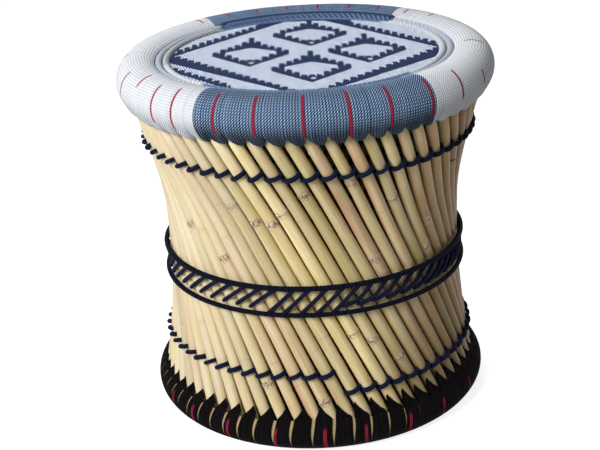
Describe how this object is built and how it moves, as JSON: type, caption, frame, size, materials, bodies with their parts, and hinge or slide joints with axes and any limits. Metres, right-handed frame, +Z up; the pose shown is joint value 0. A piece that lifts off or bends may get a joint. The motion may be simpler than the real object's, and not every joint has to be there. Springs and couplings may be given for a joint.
{
  "type": "mudda stool",
  "caption": "Round waisted reed stool: crossed layers of straight canes, a thick cord-wound rim, a flat woven cord seat with a diamond pattern and a cord-wound base roll.",
  "frame": {"origin": "on the floor, under the middle of the seat", "axes": "+Z up along the stool's axis, -Y towards the viewer of the picture, +X to the viewer's right"},
  "size_m": [0.4092, 0.4092, 0.3998],
  "materials": {
    "outer_cane": "dried reed, pale straw with a natural waxy sheen, darker rings at the nodes",
    "inner_cane": "dried reed, duller and more shaded than the outer canes",
    "grass_bundle": "loose dried grass packed into a bundle, matt",
    "blue_cord": "twisted cotton-like cord, denim blue, wound side by side",
    "white_cord": "twisted cotton-like cord, white, wound side by side",
    "black_cord": "fine twisted cord, black, wound close",
    "navy_cord": "twisted cord, dark navy",
    "seat_cord": "woven cord, navy on white in stepped diamonds"
  },
  "bodies": {
    "root": {"outer_canes_01": "outer_cane", "outer_canes_02": "outer_cane", "outer_canes_03": "outer_cane", "outer_canes_04": "outer_cane", "outer_canes_05": "outer_cane", "outer_canes_06": "outer_cane", "outer_canes_07": "outer_cane", "outer_canes_08": "outer_cane", "outer_canes_09": "outer_cane", "outer_canes_10": "outer_cane", "outer_canes_11": "outer_cane", "outer_canes_12": "outer_cane", "outer_canes_13": "outer_cane", "outer_canes_14": "outer_cane", "outer_canes_15": "outer_cane", "outer_canes_16": "outer_cane", "outer_canes_17": "outer_cane", "outer_canes_18": "outer_cane", "outer_canes_19": "outer_cane", "outer_canes_20": "outer_cane", "inner_canes_01": "inner_cane", "inner_canes_02": "inner_cane", "inner_canes_03": "inner_cane", "inner_canes_04": "inner_cane", "inner_canes_05": "inner_cane", "inner_canes_06": "inner_cane", "inner_canes_07": "inner_cane", "inner_canes_08": "inner_cane", "inner_canes_09": "inner_cane", "inner_canes_10": "inner_cane", "inner_canes_11": "inner_cane", "inner_canes_12": "inner_cane", "inner_canes_13": "inner_cane", "inner_canes_14": "inner_cane", "inner_canes_15": "inner_cane", "inner_canes_16": "inner_cane", "inner_canes_17": "inner_cane", "inner_canes_18": "inner_cane", "inner_canes_19": "inner_cane", "inner_canes_20": "inner_cane", "rim_crown_bundle": "grass_bundle", "rim_outer_bundle": "grass_bundle", "rim_inner_hoop": "inner_cane", "rim_wrap_front_blue": "blue_cord", "rim_wrap_right_white": "white_cord", "rim_wrap_back_blue": "blue_cord", "rim_wrap_left_white": "white_cord", "seat_panel": "seat_cord", "seat_edge_rope": "seat_cord", "seat_border_front_blue": "blue_cord", "seat_border_right_white": "white_cord", "seat_border_back_blue": "blue_cord", "seat_border_left_white": "white_cord", "base_wrap_front": "black_cord", "base_wrap_back": "black_cord", "base_grass_core": "grass_bundle", "upper_twine": "navy_cord", "band_upper_hoop": "navy_cord", "band_lower_hoop_lacing": "navy_cord", "lower_twine": "navy_cord"}
  },
  "joints": []
}
